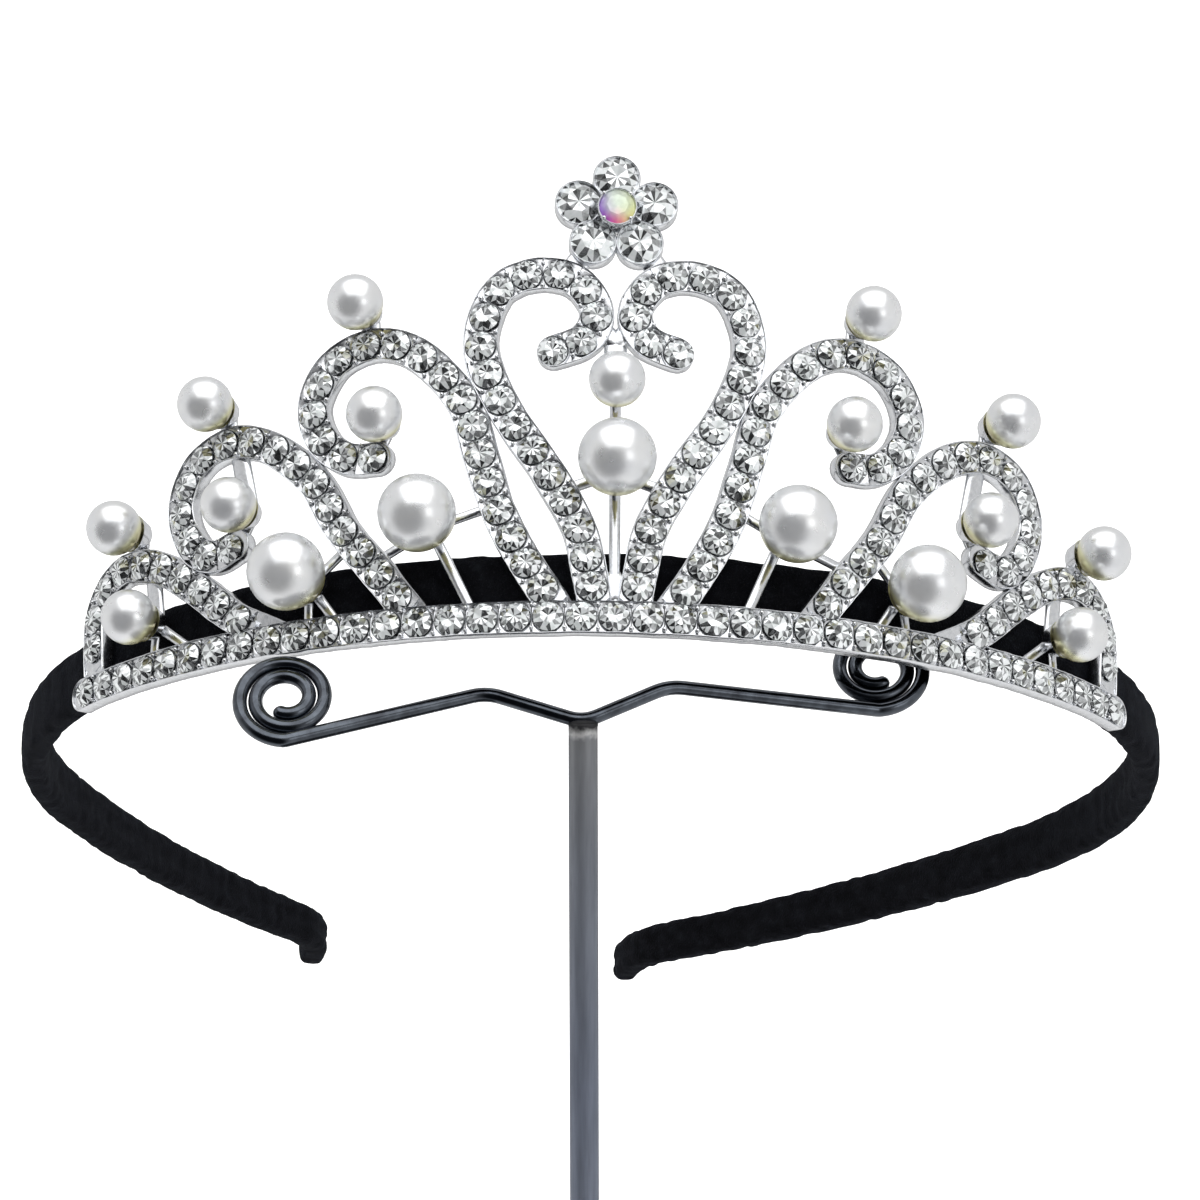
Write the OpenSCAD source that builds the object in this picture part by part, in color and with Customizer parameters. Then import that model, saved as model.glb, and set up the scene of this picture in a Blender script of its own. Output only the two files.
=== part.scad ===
// Mini crown headband on its wire display stand. Millimetres, +Z up, the crown faces -Y.
// The origin is the middle of the foot's underside, on the axis of the post.

/* [Headband] */
// Width across the headband's middle line, at its widest
hoop_w = 125; // [110:1:140]
// Height of the band at its front
band_h = 8.2; // [7:0.1:10]
// Height of the band at its tips
tip_h = 4.6; // [3.5:0.1:6]
// Thickness of the padded band
band_t = 3.2; // [2.6:0.1:4]
// How far the band's lower edge lies above the middle of the base strip
band_rise = -0.4; // [-0.6:0.1:1]
// Angle by which the headband's back hangs down
tilt = 27.5; // [20:0.5:32]
// Angle by which the headband is turned on the stand
turn = 11.5; // [6:0.5:14]

/* [Tiara] */
// Half the length of the base strip, along the band
tiara_half = 61.6; // [61.6:0.2:64]
// Sideways place of the tiara's middle, along the band from its front
tiara_shift = -8.8; // [-10:0.2:-6]
// Gap between the band's face and the frame's back
band_gap = 0.3; // [0.2:0.05:0.5]
// Thickness of the cast frame
frame_t = 1.2; // [1:0.1:1.6]
// Width of the frame's strips
strip_w = 3.5; // [3.3:0.1:3.8]
// Half width of the heart
heart_w = 13.2; // [12.8:0.1:14]
// Height of the heart above the base line
heart_h = 37.2; // [35:0.2:40]
// Place of the foot of the tall arch, from the middle
tall_u = 5; // [4.8:0.1:5.4]
// Width of the tall arch
tall_w = 25.6; // [25:0.1:26]
// Height of the tall arch
tall_h = 30.7; // [30:0.1:33]
// Place of the foot of the middle arch
mid_u = 19.2; // [19:0.1:19.6]
// Width of the middle arch
mid_w = 27.2; // [26.8:0.1:27.6]
// Height of the middle arch
mid_h = 22.5; // [22:0.1:23.4]
// Place of the foot of the low arch
low_u = 33.4; // [33:0.1:34]
// Width of the low arch
low_w = 26.4; // [26:0.1:26.8]
// Height of the low arch
low_h = 12; // [11.8:0.1:12.4]
// Radius of the ring on which the flower's five stones sit
flower_r = 4.1; // [4:0.1:4.6]
// Height of the flower's middle above the top of the heart
flower_rise = 6.7; // [6.4:0.1:7.4]
// Diameter of the pins and studs
pin_d = 0.9; // [0.8:0.1:1.2]

/* [Stones and pearls] */
// Diameter of the stones in the strips
stone_d = 2.9; // [2.6:0.1:3]
// Distance from stone to stone along the strips
stone_pitch = 3.2; // [3.15:0.05:3.5]
// Diameter of the flower's stones
petal_d = 4.55; // [4:0.05:4.6]
// Diameter of the flower's middle stone
heart_stone_d = 3.7; // [3.2:0.1:3.8]
// Clearance under each stone
stone_gap = 0.15; // [0.12:0.01:0.25]
// Diameter of the small pearls
pearl_d = 5.8; // [5:0.1:6]
// Diameter of the big pearls
big_pearl_d = 8; // [7:0.1:8.4]
// Clearance between a pearl and its cup
pearl_gap = 0.15; // [0.12:0.01:0.3]

/* [Stand] */
// Diameter of the bent wire
wire_d = 1.5; // [1.3:0.05:1.55]
// Outer radius of the spirals, to the middle of the wire
spiral_r = 5.1; // [4.8:0.1:5.6]
// Distance between the turns of a spiral
spiral_pitch = 1.6; // [1.6:0.05:1.7]
// Angle by which the wire spirals lean back
spiral_lean = 44; // [38:1:50]
// Clearance between the wire and the band
rest_gap = 0.3; // [0.2:0.05:0.5]
// Diameter of the post
post_d = 3; // [2.6:0.1:3.6]
// Height of the weld on top of the post, above the floor
weld_z = 70; // [60:1:90]
// Diameter of the foot
foot_d = 80; // [76:1:110]
// Thickness of the foot
foot_t = 4; // [3:0.5:6]
// Clearance round the post in the foot
foot_gap = 0.1; // [0.05:0.05:0.2]

/* [Hidden] */
PEARL_COUNT = 18;
PETAL_COUNT = 5;

// Half of the headband's middle line, from its front to a tip.
// Columns: length as a share of hoop_w, turn in degrees.
HOOP = [
    [0.352, 40],
    [0.624, 76],
    [0.456, 17],
    [0.112, -58]];
hoop_len = hoop_w * (HOOP[0][0] + HOOP[1][0] + HOOP[2][0] + HOOP[3][0]);

// Middle lines of the curled strips, from the foot up and round to the curl's end.
// Columns: across as a share of the piece's width, up as a share of its height.
HEART = [
    [0.13, 0], [0.19, 0.13], [0.27, 0.26], [0.5, 0.42], [0.78, 0.58], [0.97, 0.73], [1, 0.84],
    [0.87, 0.955], [0.61, 1], [0.33, 0.985], [0.17, 0.92], [0.15, 0.855], [0.25, 0.8], [0.46, 0.77]];
TALL = [
    [0, 0], [0.13, 0.173], [0.24, 0.36], [0.316, 0.567], [0.39, 0.77], [0.566, 0.945],
    [0.742, 1], [0.914, 0.948], [1, 0.814], [0.96, 0.684], [0.85, 0.603], [0.73, 0.593]];
MIDDLE = [
    [0, 0], [0.15, 0.253], [0.298, 0.49], [0.415, 0.742], [0.596, 0.938], [0.772, 1],
    [0.934, 0.924], [1, 0.733], [0.94, 0.54], [0.838, 0.462], [0.735, 0.493]];
LOW = [
    [0, 0], [0.21, 0.26], [0.41, 0.62], [0.6, 0.9], [0.784, 1], [0.918, 0.894],
    [0.993, 0.65], [0.993, 0.325], [0.978, 0]];

// Each curled piece. Columns: place of its foot, width, height, table of its line,
// length of strip before its first stone, length left bare at its end, its level.
PIECES = [
    [0, heart_w, heart_h, HEART, strip_w * 0.93, 0, 1],
    [tall_u, tall_w, tall_h, TALL, strip_w * 1.03, 0, 2],
    [mid_u, mid_w, mid_h, MIDDLE, strip_w * 1.05, 0, 1],
    [low_u, low_w, low_h, LOW, strip_w * 1.75, strip_w * 0.93, 2]];
heart = 0;
tall = 1;
middle = 2;
low = 3;

// Pearls. Columns: the piece they belong to, across and up as shares of its width and height,
// 1 for a big pearl, and the sides on which one stands.
both = [-1, 1];
PEARLS = [
    [heart, 0, 0.42, 1, [1]],
    [heart, 0, 0.656, 0, [1]],
    [tall, 0.777, 1.115, 0, both],
    [tall, 0.695, 0.707, 0, both],
    [tall, 0.516, 0.332, 1, [-1]],
    [tall, 0.457, 0.315, 1, [1]],
    [middle, 0.8, 1.155, 0, both],
    [middle, 0.6875, 0.6355, 0, both],
    [middle, 0.43, 0.244, 1, [-1]],
    [middle, 0.39, 0.238, 1, [1]],
    [low, 0.725, 1.27, 0, [-1]],
    [low, 0.785, 1.25, 0, [1]],
    [low, 0.627, 0.4, 0, both]];
pearl_list = [for (row = PEARLS) for (side = row[4]) [row[0], row[1], row[2], row[3], side]];

// Pins and studs behind the pearls. Columns: the piece, the shares where the rod starts,
// the shares where it ends, its diameter as a share of pin_d, and the sides on which one stands.
RODS = [
    [heart, 0, 0.42, 0, 0, 1.1, [1]],
    [heart, 0, 0.12, 0, 0, 1.8, [1]],
    [heart, 0, 0.42, 0, 0.656, 1.1, [1]],
    [heart, 0, 0.42, 0.42, 0.365, 1.2, both],
    [heart, 0, 0.656, 0, 0.8, 2.2, [1]],
    [heart, 0, 0.8, 0.15, 0.86, 2, both],
    [tall, 0.516, 0.332, 0.345, 0.03, 1.1, [-1]],
    [tall, 0.516, 0.332, 0.26, 0.4, 1, [-1]],
    [tall, 0.516, 0.332, 0.76, 0.22, 1, [-1]],
    [tall, 0.457, 0.315, 0.31, 0.03, 1.1, [1]],
    [tall, 0.457, 0.315, 0.26, 0.4, 1, [1]],
    [tall, 0.457, 0.315, 0.76, 0.22, 1, [1]],
    [tall, 0.777, 1.115, 0.76, 0.98, 2, both],
    [middle, 0.8, 1.155, 0.79, 0.98, 2, both],
    [low, 0.725, 1.27, 0.74, 0.98, 2, [-1]],
    [low, 0.785, 1.25, 0.775, 0.98, 2, [1]],
    [tall, 0.695, 0.707, 0.76, 0.6, 2, both],
    [middle, 0.43, 0.244, 0.31, 0.04, 1.1, [-1]],
    [middle, 0.43, 0.244, 0.26, 0.42, 1, [-1]],
    [middle, 0.43, 0.244, 0.43, 0.04, 1, [-1]],
    [middle, 0.39, 0.238, 0.28, 0.04, 1.1, [1]],
    [middle, 0.39, 0.238, 0.26, 0.42, 1, [1]],
    [middle, 0.39, 0.238, 0.41, 0.04, 1, [1]],
    [middle, 0.6875, 0.6355, 0.75, 0.98, 2.1, both],
    [middle, 0.6875, 0.6355, 0.76, 0.48, 2, both],
    [low, 0.627, 0.4, 0.42, 0.06, 1.1, both],
    [low, 0.627, 0.4, 0.64, 0.04, 1.1, both],
    [low, 0.627, 0.4, 0.66, 0.95, 2.1, both]];

// Cut of the stones, as shares of the diameter
crown_share = 0.36;
table_share = 0.56;
stone_facets = 8;
field_w = frame_t + stone_gap;
// Cups behind the pearls: thickness of the floor, then the outside's radii, the wall, the hollow's
// radius at its floor and the rim's height, as shares of the pearl's diameter
cup_floor = 0.4;
cup_foot = 0.24;
cup_rim = 0.35;
cup_wall = 0.035;
cup_hollow = 0.275;
cup_rise = 0.1;
pearl_sides = 48;
cup_sides = 10;
petal_sides = 20;
pin_sides = 6;
// Strips that cross lie at their own depths: each level starts deeper by this step
level_step = 0.05 * frame_t;
side_step = 0.25;
rod_in = 0.16 * frame_t;
rod_step = 0.03 * frame_t;
rod_levels = 5;
rod_growth = 0.03;
cup_in = 0.35 * frame_t;
strip_steps = 3;
base_steps = 32;
fine_steps = 8;
flower_v = heart_h + flower_rise;
petal_rim = 0.3;
// The middle stone stands on a post, above the tops of the five round it
petal_clear = 0.1;
centre_rise = petal_d * crown_share + petal_clear;
centre_post = 0.75;
// Pieces that tie the flower to the heart: diameter as a share of pin_d, place across the heart
tie_share = 2.4;
tie_across = 0.36;
// The rounds at the strips' ends are a little wider than the strips
end_share = 1.03;

band_mid = band_rise + band_h / 2;
band_sides = 10;
band_rings = 46;
// How square the band's section is: 2 is an ellipse
band_square = 3.2;
// How late the band's height falls away from its front: 1 is evenly
band_taper = 1.2;
// Rounded ends. Columns: distance from the tip as a share of the tip's height, share of the section
TIP = [[0, 0.32], [0.08, 0.62], [0.22, 0.86], [0.45, 1]];

// The headband's place over the post: its front, to the side of, behind and above the weld
head_x = 0.0944 * hoop_w;
head_y = 0.0072 * hoop_w;
head_z = weld_z + 0.0744 * hoop_w;
// Places of the spirals along the band, and how far the right one reaches up behind it
left_s = -0.329 * hoop_w;
right_s = 0.166 * hoop_w;
hook_reach = 0.0592 * hoop_w;
// Bends of the two arms beside the post. Columns: across and up from the weld
LEFT_KINK = [-0.0792 * hoop_w, 0.0288 * hoop_w];
RIGHT_KINK = [0.0696 * hoop_w, 0.0352 * hoop_w];
kink_round = 0.0128 * hoop_w;
spiral_turns = 2.1;
spiral_steps = 16;
wire_sides = 8;
// Width of the slope round the top of the foot
foot_bevel = foot_t / 4;

// Point and heading of the headband's middle line at the length s from its front
function walk(s, i, at) =
    let (row = HOOP[i], len_i = row[0] * hoop_w, d = min(s, len_i),
         radius = len_i / (row[1] * PI / 180), h = at[2] + row[1] * d / len_i,
         next = [at[0] + radius * (sin(h) - sin(at[2])), at[1] + radius * (cos(at[2]) - cos(h)), h])
    (s > len_i && i < len(HOOP) - 1) ? walk(s - len_i, i + 1, next) : next;
function hoop(s) = let (p = walk(abs(s), 0, [0, 0, 0]), g = s < 0 ? -1 : 1) [g * p[0], p[1], g * p[2]];
function on_hoop(s, out, up) =
    let (p = hoop(s)) [p[0] + out * sin(p[2]), p[1] - out * cos(p[2]), up];

// A point of the tiara: u along the band from the tiara's middle, v up, w out from the frame's back
function on_tiara(u, v, w) = on_hoop(tiara_shift + u, band_t / 2 + band_gap + w, v);

// A point of the headband in the part's frame
function placed(p) =
    let (x = p[0] * cos(turn) - p[1] * sin(turn), y = p[0] * sin(turn) + p[1] * cos(turn))
    [head_x + x, head_y + y * cos(tilt) + p[2] * sin(tilt), head_z - y * sin(tilt) + p[2] * cos(tilt)];

// Shares of a piece, as lengths on the tiara
function piece_uv(row, x, y, side) = [side * (row[0] + x * row[1]), y * row[2]];

// Smooth line through points, with n steps between two
function mix(a, b, c, d, t) =
    0.5 * (2 * b + (c - a) * t + (2 * a - 5 * b + 4 * c - d) * t * t
        + (3 * b - a - 3 * c + d) * t * t * t);
function smooth(p, n) =
    let (m = len(p) - 1)
    concat([for (i = [0:m - 1]) for (k = [0:n - 1])
        mix(p[max(i - 1, 0)], p[i], p[i + 1], p[min(i + 2, m)], k / n)], [p[m]]);
function piece_line(row, side, n) = smooth([for (q = row[3]) piece_uv(row, q[0], q[1], side)], n);

// Running length of a line, and the point at one length along it
function lengths(p, i = 0, sum = 0) =
    i == len(p) - 1 ? [sum] : concat([sum], lengths(p, i + 1, sum + norm(p[i + 1] - p[i])));
function at_length(p, run, s, i = 0) =
    (i >= len(p) - 2 || run[i + 1] >= s)
        ? p[i] + (p[i + 1] - p[i]) * (s - run[i]) / (run[i + 1] - run[i])
        : at_length(p, run, s, i + 1);
function stones_on(row, side) =
    let (p = piece_line(row, side, fine_steps), run = lengths(p), total = run[len(run) - 1],
         count = floor((total - row[4] - row[5]) / stone_pitch + 0.001))
    [for (k = [0:count]) at_length(p, run, row[4] + k * stone_pitch)];

// Direction of a line at one of its points
function heading(p, i) =
    let (d = p[min(i + 1, len(p) - 1)] - p[max(i - 1, 0)]) d / norm(d);

// A closed skin over rings of points. Each ring runs anticlockwise, seen from the first ring.
module skin(rings) {
    k = len(rings[0]);
    n = len(rings);
    sides = [for (i = [0:n - 2]) for (a = [0:k - 1])
        let (b = (a + 1) % k, p = i * k, q = p + k)
        for (t = [0, 1]) t == 0 ? [p + a, p + b, q + b] : [p + a, q + b, q + a]];
    caps = [for (a = [1:k - 2]) for (t = [0, 1])
        t == 0 ? [0, a + 1, a] : [(n - 1) * k, (n - 1) * k + a, (n - 1) * k + a + 1]];
    polyhedron([for (r = rings) for (p = r) p], concat(sides, caps));
}

// Puts its children on the tiara: X along it, Y up and Z outwards
module at_tiara(u, v, w) {
    p = on_tiara(u, v, w);
    h = hoop(tiara_shift + u)[2];
    translate(p) rotate([0, 0, h]) rotate([90, 0, 0]) children();
}

module place_headband() {
    translate([head_x, head_y, head_z]) rotate([-tilt, 0, 0]) rotate([0, 0, turn]) children();
}

// A flat strip along a line of the tiara
module strip(p, level) {
    hw = strip_w / 2;
    low_w = level * level_step;
    high_w = frame_t - low_w;
    skin([for (i = [0:len(p) - 1])
        let (d = heading(p, i), n = [-d[1], d[0]] * hw, a = p[i] + n, b = p[i] - n)
        [on_tiara(a[0], a[1], low_w), on_tiara(b[0], b[1], low_w),
         on_tiara(b[0], b[1], high_w), on_tiara(a[0], a[1], high_w)]]);
}

// The round end of a strip
module strip_end(uv, level) {
    inset = (level + 0.5) * level_step;
    at_tiara(uv[0], uv[1], inset)
        cylinder(h = frame_t - 2 * inset, d = strip_w * end_share, $fn = cup_sides);
}

// The round cup behind a pearl
module cup(uv, d) {
    seat = frame_t + cup_floor;
    high = seat + d * cup_rise - cup_in;
    // The hollow is drawn to twice its depth, so its radius grows twice as far as well
    wide = 2 * (cup_rim - cup_wall) - cup_hollow;
    at_tiara(uv[0], uv[1], 0) difference() {
        translate([0, 0, cup_in])
            cylinder(h = high, r1 = d * cup_foot, r2 = d * cup_rim, $fn = cup_sides);
        translate([0, 0, seat])
            cylinder(h = 2 * d * cup_rise, r1 = d * cup_hollow, r2 = d * wide, $fn = cup_sides);
    }
}
function size_of(row) = row[3] == 1 ? big_pearl_d : pearl_d;
function pearl_w(d) = frame_t + cup_floor + pearl_gap + d / 2;

// A rod between two points of the frame, with round ends. A deeper one is a little thicker as well
module rod(a, b, d, level) {
    inset = rod_in + level * rod_step;
    hull() for (q = [a, b])
        at_tiara(q[0], q[1], inset)
            cylinder(h = frame_t - 2 * inset, d = d * (1 + level * rod_growth), $fn = pin_sides);
}

// The flower is flat: its stones are placed in the plane of its middle
function petal_xy(i) = let (a = 360 / PETAL_COUNT * i) [flower_r * sin(a), flower_r * cos(a)];

module tiara_frame() {
    base = [for (k = [0:base_steps]) [tiara_half * (2 * k / base_steps - 1), 0]];
    color("silver") place_headband() union() {
        strip(base, 0);
        for (side = both) strip_end([side * tiara_half, 0], 0);
        for (row = PIECES) for (side = both) {
            line = piece_line(row, side, strip_steps);
            level = row[6] + side * side_step;
            strip(line, level);
            strip_end(line[len(line) - 1], level);
        }
        for (i = [0:len(RODS) - 1]) for (side = RODS[i][6]) {
            row = RODS[i];
            rod(piece_uv(PIECES[row[0]], row[1], row[2], side),
                piece_uv(PIECES[row[0]], row[3], row[4], side),
                row[5] * pin_d, i % rod_levels + side * side_step);
        }
        for (row = pearl_list)
            cup(piece_uv(PIECES[row[0]], row[1], row[2], row[4]), size_of(row));
        at_tiara(0, flower_v, 0) {
            linear_extrude(frame_t) union() {
                for (i = [0:PETAL_COUNT - 1])
                    translate(petal_xy(i)) circle(d = petal_d + 2 * petal_rim, $fn = petal_sides);
                circle(d = 2 * flower_r - petal_d, $fn = petal_sides);
            }
            translate([0, 0, cup_in])
                cylinder(h = frame_t + centre_rise - cup_in, d = heart_stone_d * centre_post,
                    $fn = cup_sides);
        }
        for (side = both)
            rod([side * petal_xy(2)[0], flower_v + petal_xy(2)[1]],
                [side * heart_w * tie_across, heart_h], pin_d * tie_share, side * side_step);
    }
}

// A flat backed stone with a table and eight crown facets
module cut_stone(d) {
    cylinder(h = d * crown_share, d1 = d, d2 = d * table_share, $fn = stone_facets);
}
module stone(uv, d, w) {
    at_tiara(uv[0], uv[1], w) cut_stone(d);
}

module base_stones() {
    count = floor((tiara_half - stone_d / 4) / stone_pitch);
    color("white") place_headband()
        for (k = [-count:count]) stone([k * stone_pitch, 0], stone_d, field_w);
}

module piece_stones(first, last, sides) {
    color("white") place_headband()
        for (i = [first:last]) for (side = sides)
            for (p = stones_on(PIECES[i], side)) stone(p, stone_d, field_w);
}

module flower_stone(i) {
    color("white") place_headband() at_tiara(0, flower_v, field_w)
        translate(petal_xy(i - 1)) cut_stone(petal_d);
}

module flower_centre() {
    color("plum") place_headband() stone([0, flower_v], heart_stone_d, field_w + centre_rise);
}

module pearl(i) {
    row = pearl_list[i - 1];
    d = size_of(row);
    uv = piece_uv(PIECES[row[0]], row[1], row[2], row[4]);
    color("ivory") place_headband() at_tiara(uv[0], uv[1], pearl_w(d))
        sphere(d = d, $fn = pearl_sides);
}

// The velvet band: a padded flat section that tapers from the front to its rounded tips
function band_height(s) = band_h + (tip_h - band_h) * pow(abs(s) / hoop_len, band_taper);
function band_low(s) = band_mid - band_height(s) / 2;
function bulge(c) = sign(c) * pow(abs(c), 2 / band_square);
function band_ring(s, share) =
    [for (k = [0:band_sides - 1])
        let (a = (k + 0.5) * 360 / band_sides, half_t = share * band_t / 2,
             half_h = share * band_height(s) / 2)
        on_hoop(s, half_t * bulge(cos(a)), band_mid + half_h * bulge(sin(a)))];
module velvet_band() {
    cut = hoop_len - TIP[3][0] * tip_h;
    ends = [for (row = TIP) [hoop_len - row[0] * tip_h, row[1]]];
    stations = concat(
        [for (row = ends) [-row[0], row[1]]],
        [for (k = [1:band_rings - 1]) [cut * (2 * k / band_rings - 1), 1]],
        [for (i = [len(ends) - 1:-1:0]) ends[i]]);
    color([0.05, 0.05, 0.07]) place_headband() skin([for (q = stations) band_ring(q[0], q[1])]);
}

// The bent wire: its two spirals lean back, under the band on the left and behind it on the right
up_lean = [0, sin(spiral_lean), cos(spiral_lean)];
back_lean = [0, cos(spiral_lean), -sin(spiral_lean)];
wire_reach = spiral_r + wire_d / 2;
// Lower edge of the base strip where the left spiral carries it, and the way square to it
function strip_edge(s) = placed(on_hoop(s, band_t / 2 + band_gap + frame_t / 2, -strip_w / 2));
left_edge = strip_edge(left_s);
left_run = strip_edge(left_s + strip_w) - strip_edge(left_s - strip_w);
left_slope = atan2(left_run * up_lean, left_run[0]);
left_down = [sin(left_slope), 0, 0] - cos(left_slope) * up_lean;
right_edge = placed(on_hoop(right_s, -band_t / 2, band_low(right_s)));
// The band's inner edge beside the right spiral, where it comes nearest to the wire
right_flank = placed(on_hoop(right_s + wire_reach, -band_t / 2, band_low(right_s + wire_reach)));
right_push = max((right_flank - right_edge) * back_lean, 0);
left_centre = left_edge + left_down * (wire_reach - spiral_pitch / 2 + rest_gap);
right_centre = right_edge + back_lean * (right_push + wire_d / 2 + rest_gap)
    - up_lean * (wire_reach - hook_reach);
weld_at = [0, 0, weld_z];
function spiral(c, side) =
    [for (k = [round(spiral_steps * spiral_turns):-1:0])
        let (turns = k / spiral_steps, a = 360 * turns, r = spiral_r - spiral_pitch * turns)
        c + [side * r * sin(a), 0, 0] - up_lean * r * cos(a)];
// A bend is drawn by three points, a little before, at and after its corner
function bend(a, corner, b) =
    let (p = corner + kink_round * (a - corner) / norm(a - corner),
         q = corner + kink_round * (b - corner) / norm(b - corner))
    [p, (p + 2 * corner + q) / 4, q];
function wire_line() =
    let (l = left_centre - up_lean * spiral_r, r = right_centre - up_lean * spiral_r,
         lk = weld_at + [LEFT_KINK[0], 0, 0] + up_lean * LEFT_KINK[1],
         rk = weld_at + [RIGHT_KINK[0], 0, 0] + up_lean * RIGHT_KINK[1],
         turned = spiral(right_centre, 1), last = len(turned) - 1)
    concat(spiral(left_centre, -1), bend(l, lk, weld_at), bend(lk, weld_at, rk), bend(weld_at, rk, r),
        [for (i = [last:-1:0]) turned[i]]);

module stand() {
    line = wire_line();
    color("dimgray") union() {
        skin([for (i = [0:len(line) - 1])
            let (t = heading(line, i), side = cross(t, back_lean), a = side / norm(side), b = cross(a, t))
            [for (k = [0:wire_sides - 1]) let (g = (k + 0.5) * 360 / wire_sides)
                line[i] + wire_d / 2 * (cos(g) * a + sin(g) * b)]]);
        translate([0, 0, foot_t / 2]) cylinder(h = weld_z - foot_t / 2, d = post_d, $fn = 32);
    }
}

module foot() {
    color("dimgray") difference() {
        union() {
            cylinder(h = foot_t - foot_bevel, d = foot_d, $fn = 96);
            translate([0, 0, foot_t - foot_bevel])
                cylinder(h = foot_bevel, d1 = foot_d, d2 = foot_d - 2 * foot_bevel, $fn = 96);
        }
        translate([0, 0, foot_t / 2 - foot_gap])
            cylinder(h = foot_t, d = post_d + 2 * foot_gap, $fn = 32);
    }
}

tiara_frame();
base_stones();
piece_stones(heart, heart, both);  // heart_stones
piece_stones(tall, low, [-1]);  // arch_stones_left
piece_stones(tall, low, [1]);  // arch_stones_right
flower_centre();
velvet_band();
stand();
foot();
for (i = [1:PETAL_COUNT]) flower_stone(i);
for (i = [1:PEARL_COUNT]) pearl(i);
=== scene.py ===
import math

import bpy
import numpy as np
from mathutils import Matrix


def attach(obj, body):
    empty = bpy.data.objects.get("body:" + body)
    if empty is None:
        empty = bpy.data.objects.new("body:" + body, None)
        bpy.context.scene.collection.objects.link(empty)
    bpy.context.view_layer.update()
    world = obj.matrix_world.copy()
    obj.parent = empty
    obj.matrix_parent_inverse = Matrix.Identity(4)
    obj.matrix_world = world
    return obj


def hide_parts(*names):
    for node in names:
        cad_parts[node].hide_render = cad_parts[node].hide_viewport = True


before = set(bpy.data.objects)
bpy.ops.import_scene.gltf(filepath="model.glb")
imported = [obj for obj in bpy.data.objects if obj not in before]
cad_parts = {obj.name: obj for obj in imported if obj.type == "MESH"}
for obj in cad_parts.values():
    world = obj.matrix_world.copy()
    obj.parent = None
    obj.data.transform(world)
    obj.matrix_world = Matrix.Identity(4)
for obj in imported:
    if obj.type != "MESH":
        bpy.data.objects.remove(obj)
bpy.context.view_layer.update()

rng = np.random.default_rng(27)
twoPi = 2 * math.pi
print("frame loaded")

band = {
    "width": 0.125,
    "arcs": ((0.352, 40), (0.624, 76), (0.456, 17), (0.112, -58)),  # share of the width, turn in degrees
    "frontHeight": 0.0082, "tipHeight": 0.0046, "thickness": 0.0032, "lowEdge": -0.0004,
    "tilt": 27.5, "turn": 11.5, "place": (0.0118, 0.0009, 0.0793),
}
tiara = {
    "half": 0.0616, "shift": -0.0088, "bandGap": 0.0003, "thick": 0.0012, "stripWidth": 0.0035,
    "pin": 0.0009,
}


# Arc after arc: each adds its chord from the part of s that falls on it; negative s is the mirrored half
def hoopAt(s):
    s = np.asarray(s, float)
    side, run = np.where(s < 0, -1.0, 1.0), np.abs(s)
    x, y, h = np.zeros((3, *run.shape))
    start, heading = 0.0, 0.0
    for share, turn in band["arcs"]:
        length = share * band["width"]
        bend = math.radians(turn)
        part = np.clip(run - start, 0, length) / length * bend
        x = x + length / bend * (np.sin(heading + part) - math.sin(heading))
        y = y + length / bend * (math.cos(heading) - np.cos(heading + part))
        h = h + part
        start, heading = start + length, heading + bend
    return side * x, y, side * h


hoopLength = band["width"] * sum(share for share, _ in band["arcs"])


# A turn about the upright axis, then the tilt back, then the move onto the stand
def placed(p):
    px, py, z = np.moveaxis(np.asarray(p, float), -1, 0)
    a, t = math.radians(band["turn"]), math.radians(band["tilt"])
    x = px * math.cos(a) - py * math.sin(a)
    y = px * math.sin(a) + py * math.cos(a)
    hx, hy, hz = band["place"]
    back = hy + y * math.cos(t) + z * math.sin(t)
    up = hz - y * math.sin(t) + z * math.cos(t)
    return np.stack([hx + x, back, up], -1)


# The middle line's point, moved out along its own normal and up
def onHoop(s, out, up):
    x, y, h = hoopAt(s)
    return np.stack(np.broadcast_arrays(x + out * np.sin(h), y - out * np.cos(h), up), -1)


# How far the tiara's back stands out from the band's middle line
tiaraOut = band["thickness"] / 2 + tiara["bandGap"]


# A point on the tiara's curve: u along it from its middle, v up, w out from its back
def onTiara(u, v, w):
    return placed(onHoop(tiara["shift"] + np.asarray(u, float), tiaraOut + w, v))


# Points given flat on the tiara at (u, v): x along it, y up, z out of it
def flatOnTiara(u, v, local):
    s = tiara["shift"] + u
    h = float(hoopAt(s)[2])
    base = onHoop(s, tiaraOut, v)
    along = np.array([math.cos(h), math.sin(h), 0])
    out = np.array([math.sin(h), -math.cos(h), 0])
    up = np.array([0, 0, 1.0])
    return placed(base + local[:, :1] * along + local[:, 1:2] * up + local[:, 2:3] * out)


# Quads between the points of a grid, row by row; either way may close on itself
def gridQuads(rows, cols, closeRows=False, closeCols=False):
    r = np.arange(rows if closeRows else rows - 1)[:, None]
    c = np.arange(cols if closeCols else cols - 1)[None, :]
    r2, c2 = (r + 1) % rows, (c + 1) % cols
    quads = np.stack([r * cols + c, r * cols + c2, r2 * cols + c2, r2 * cols + c], -1)
    return quads.reshape(-1, 4).tolist()


# Six times the volume a closed shape holds, from the fans of its faces: below nought means inside out
def heldVolume(points, faces):
    fans = np.array([(f[0], f[k], f[k + 1]) for f in faces for k in range(1, len(f) - 1)])
    middle = points.mean(0)
    a, b, c = (points[fans[:, k]] - middle for k in range(3))
    return float(np.einsum("ij,ij->", a, np.cross(b, c)))


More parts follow.
